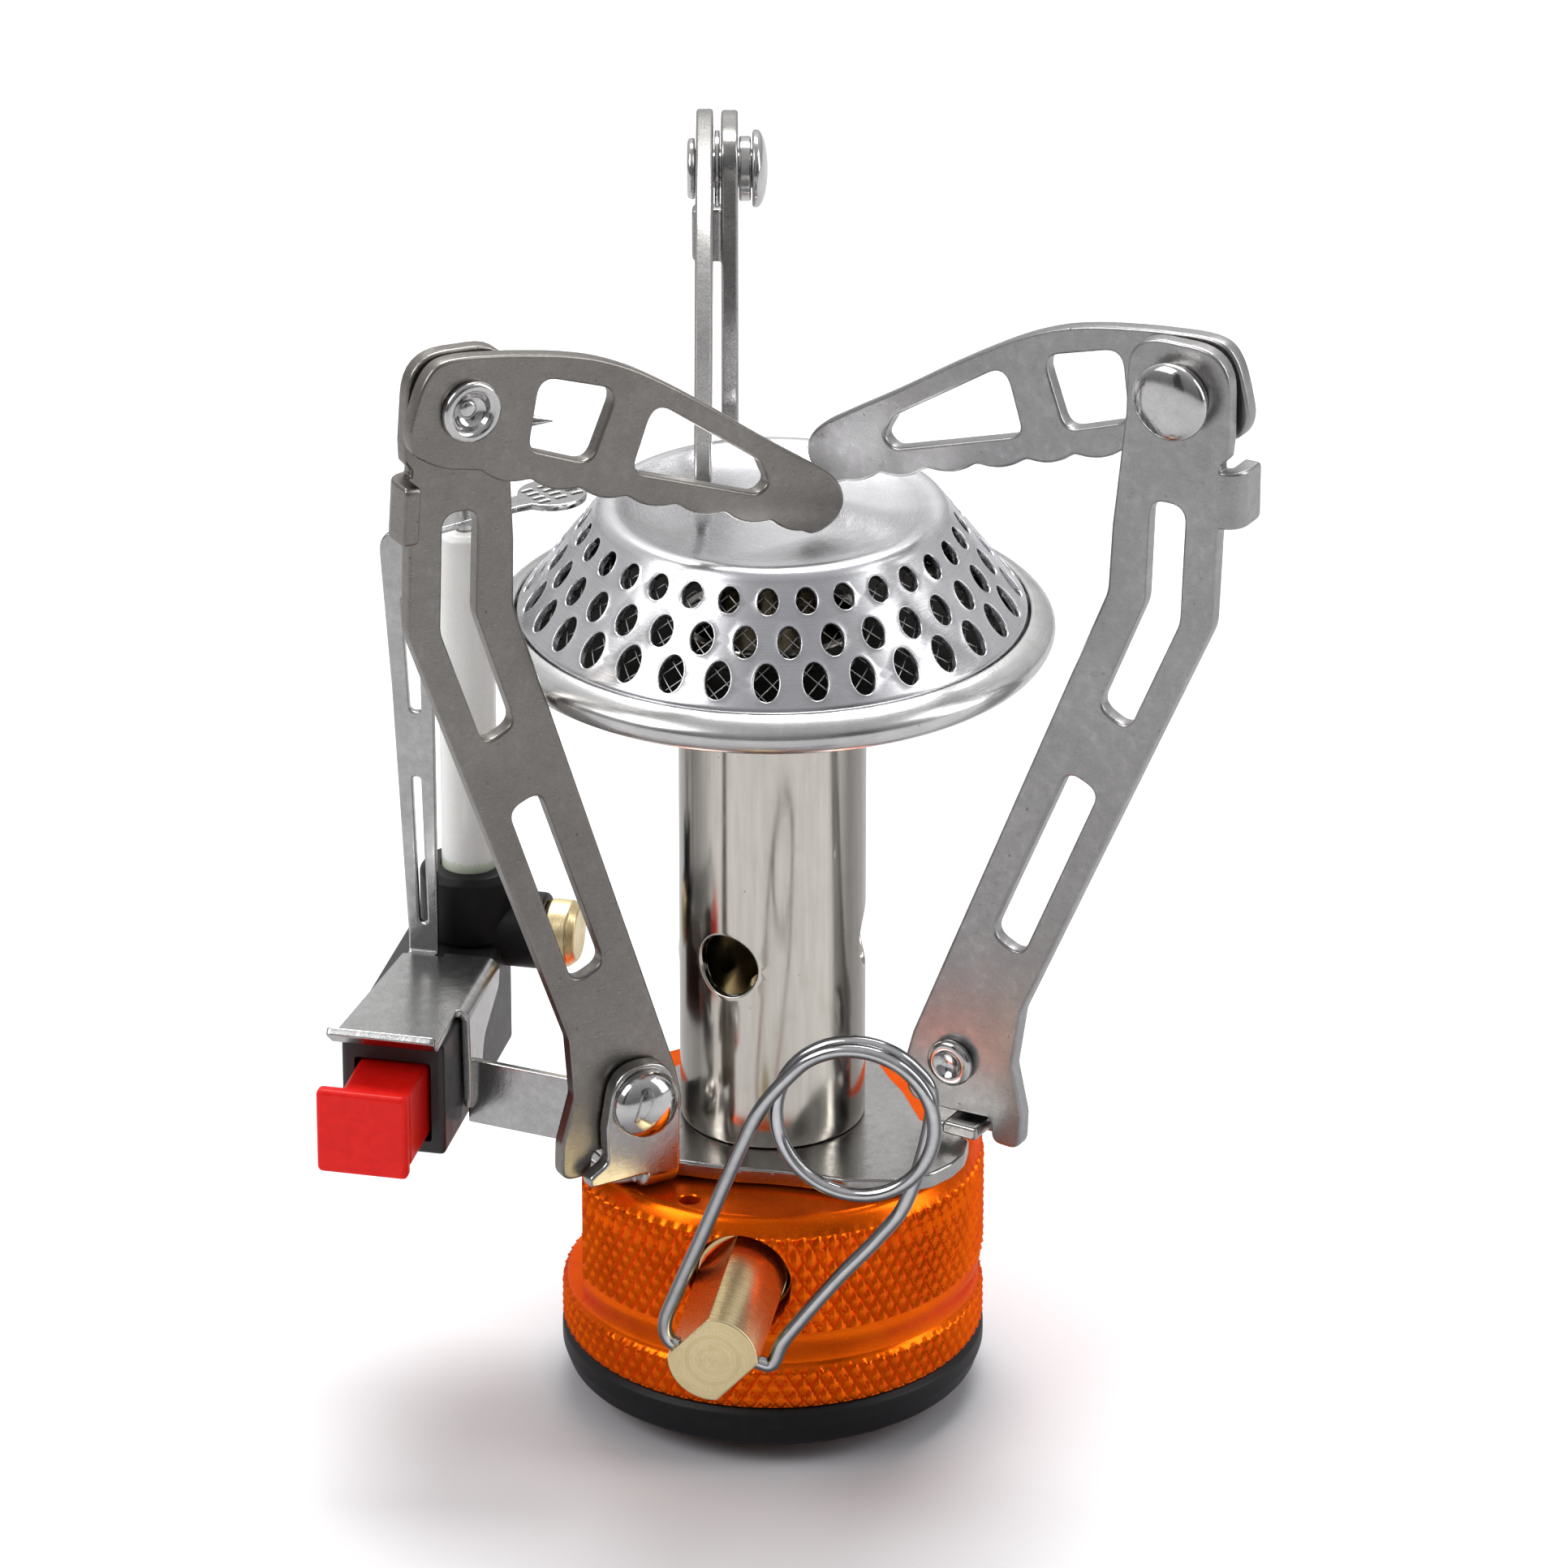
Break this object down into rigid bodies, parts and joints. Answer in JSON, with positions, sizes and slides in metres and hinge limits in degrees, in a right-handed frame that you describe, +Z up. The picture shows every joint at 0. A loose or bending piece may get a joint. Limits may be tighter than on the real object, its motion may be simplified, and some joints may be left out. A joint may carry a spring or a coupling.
{
  "type": "canister stove",
  "caption": "Folding canister-top stove: serrated pot arms on riveted steel legs, perforated burner, wire-handled brass valve, knurled orange body and piezo igniter.",
  "frame": {"origin": "on the stove axis, at the flat tip of the depressor pin inside the threaded nose", "axes": "+Z up along the stove axis through the burner; -Y towards the valve handle; +X to the right seen from the handle side"},
  "size_m": [0.0645, 0.0597, 0.0857],
  "materials": {
    "anodised_orange": "anodised, satin",
    "tumbled_steel": "tumbled stainless sheet, satin",
    "polished_steel": "polished",
    "nickel_tube": "drawn tube, bright",
    "brass": "turned",
    "steel_wire": "polished wire",
    "black_rubber": "satin",
    "black_plastic": "fine satin",
    "red_plastic": "satin gloss",
    "ceramic": "glazed white ceramic"
  },
  "bodies": {
    "stove_base": {"valve_body": "anodised_orange", "canister_seal": "black_rubber", "inlet_o_ring": "black_rubber", "depressor_pin": "brass", "spindle_gland": "brass", "leg_bracket": "tumbled_steel", "jet_nozzle": "brass", "mixing_tube": "nickel_tube", "burner_pan": "tumbled_steel", "burner_mesh": "tumbled_steel", "burner_cap": "polished_steel", "igniter_bracket": "polished_steel", "bracket_rivet": "tumbled_steel", "igniter_body": "black_plastic", "button_spring": "steel_wire", "electrode_boot": "black_rubber", "contact_cap": "brass", "electrode_insulator": "ceramic", "electrode_pin": "steel_wire", "lower_rivet_1": "polished_steel", "lower_rivet_2": "polished_steel", "lower_rivet_3": "polished_steel"},
    "support_leg_1": {"leg_1": "tumbled_steel", "upper_rivet_1": "polished_steel", "collar_1": "tumbled_steel", "washer_1": "tumbled_steel"},
    "pot_arm_1": {"arm_1": "tumbled_steel"},
    "support_leg_2": {"leg_2": "tumbled_steel", "upper_rivet_2": "polished_steel", "collar_2": "tumbled_steel", "washer_2": "tumbled_steel"},
    "pot_arm_2": {"arm_2": "tumbled_steel"},
    "support_leg_3": {"leg_3": "tumbled_steel", "upper_rivet_3": "polished_steel", "collar_3": "tumbled_steel", "washer_3": "tumbled_steel"},
    "pot_arm_3": {"arm_3": "tumbled_steel"},
    "valve_spindle": {"valve_spindle": "brass", "spindle_o_ring": "black_rubber"},
    "wire_handle": {"wire_handle": "steel_wire"},
    "igniter_button": {"igniter_button": "red_plastic"}
  },
  "joints": [
    {"name": "leg_1_fold", "type": "hinge", "parent": "stove_base", "child": "support_leg_1", "pos_m": [0.01293, -0.004, 0.024], "axis": [-0.5, -0.866, 0], "range_deg": [-0.3, 3.5]},
    {"name": "arm_1_swing", "type": "hinge", "parent": "support_leg_1", "child": "pot_arm_1", "pos_m": [0.02827, -0.01084, 0.0778], "axis": [0.5, 0.866, 0], "range_deg": [0, 196.5]},
    {"name": "leg_2_fold", "type": "hinge", "parent": "stove_base", "child": "support_leg_2", "pos_m": [-0.00993, -0.0092, 0.024], "axis": [-0.5, 0.866, 0], "range_deg": [-3.6, 0.08]},
    {"name": "arm_2_swing", "type": "hinge", "parent": "support_leg_2", "child": "pot_arm_2", "pos_m": [-0.02032, -0.01721, 0.07881], "axis": [0.5, -0.866, 0], "range_deg": [0, 196.5]},
    {"name": "leg_3_fold", "type": "hinge", "parent": "stove_base", "child": "support_leg_3", "pos_m": [-0.003, 0.0132, 0.024], "axis": [1, 0, 0], "range_deg": [-3.6, 0.08]},
    {"name": "arm_3_swing", "type": "hinge", "parent": "support_leg_3", "child": "pot_arm_3", "pos_m": [-0.00475, 0.0262, 0.07881], "axis": [-1, 0, 0], "range_deg": [0, 196.5]},
    {"name": "valve_turn", "type": "hinge", "parent": "stove_base", "child": "valve_spindle", "pos_m": [-0.00216, -0.01333, 0.0116], "axis": [-0.1599, -0.9871, 0], "range_deg": [0, 540]},
    {"name": "handle_fold", "type": "hinge", "parent": "valve_spindle", "child": "wire_handle", "pos_m": [-0.00395, -0.02438, 0.0116], "axis": [0.9736, -0.1577, -0.165], "range_deg": [0, 90]},
    {"name": "igniter_press", "type": "slide", "parent": "stove_base", "child": "igniter_button", "axis": [0.225, 0.9744, 0], "range_m": [0, 0.0035], "stiffness_N_per_m": 600}
  ]
}
